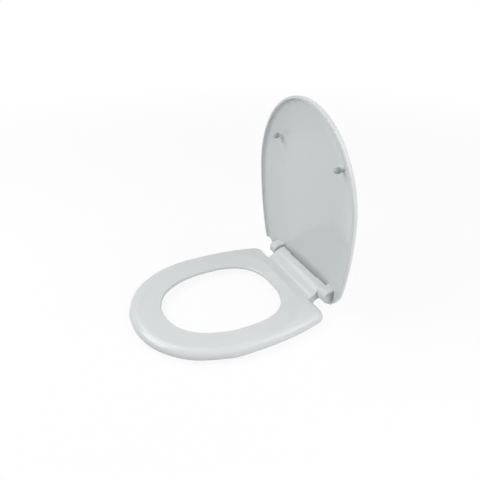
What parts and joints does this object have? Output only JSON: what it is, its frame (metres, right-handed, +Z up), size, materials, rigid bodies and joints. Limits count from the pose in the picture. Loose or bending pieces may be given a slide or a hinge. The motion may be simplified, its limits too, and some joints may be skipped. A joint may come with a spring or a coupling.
{
  "type": "toilet seat with lid",
  "caption": "Round-fronted toilet seat ring with a dished lid, both turning on one hinge line over bolted rear posts with soft-close dampers.",
  "frame": {"origin": "midway between the two bolt holes, on the plane where the gaskets and buffers stand on the bowl", "axes": "+X to the right as seen from in front, the front of the seat at -Y, +Z up through the bolt holes"},
  "size_m": [0.371, 0.4306, 0.4439],
  "materials": {
    "white_gloss": "high gloss moulded",
    "grey_rubber": "soft satin",
    "post_plastic": "satin moulded",
    "damper_plastic": "satin moulded",
    "spindle_steel": "turned",
    "insert_plastic": "satin moulded"
  },
  "bodies": {
    "hinge": {"hinge_post_left": "post_plastic", "hinge_post_right": "post_plastic", "base_gasket_left": "grey_rubber", "base_gasket_right": "grey_rubber", "damper_left": "damper_plastic", "damper_right": "damper_plastic"},
    "seat": {"seat_ring": "white_gloss", "seat_buffer_front_left": "grey_rubber", "seat_buffer_front_right": "grey_rubber", "seat_buffer_rear_left": "grey_rubber", "seat_buffer_rear_right": "grey_rubber", "ring_bush": "insert_plastic", "ring_key_insert": "insert_plastic", "seat_spindle": "spindle_steel"},
    "lid": {"lid": "white_gloss", "lid_buffer_left": "grey_rubber", "lid_buffer_right": "grey_rubber", "lid_key_insert": "insert_plastic", "lid_bush": "insert_plastic", "lid_spindle": "spindle_steel"}
  },
  "joints": [
    {"name": "seat_hinge", "type": "hinge", "parent": "hinge", "child": "seat", "pos_m": [0, 0.042, 0.034], "axis": [-1, 0, 0], "range_deg": [0, 88]},
    {"name": "lid_hinge", "type": "hinge", "parent": "seat", "child": "lid", "pos_m": [0, 0.042, 0.034], "axis": [-1, 0, 0], "range_deg": [-88, 0]}
  ]
}
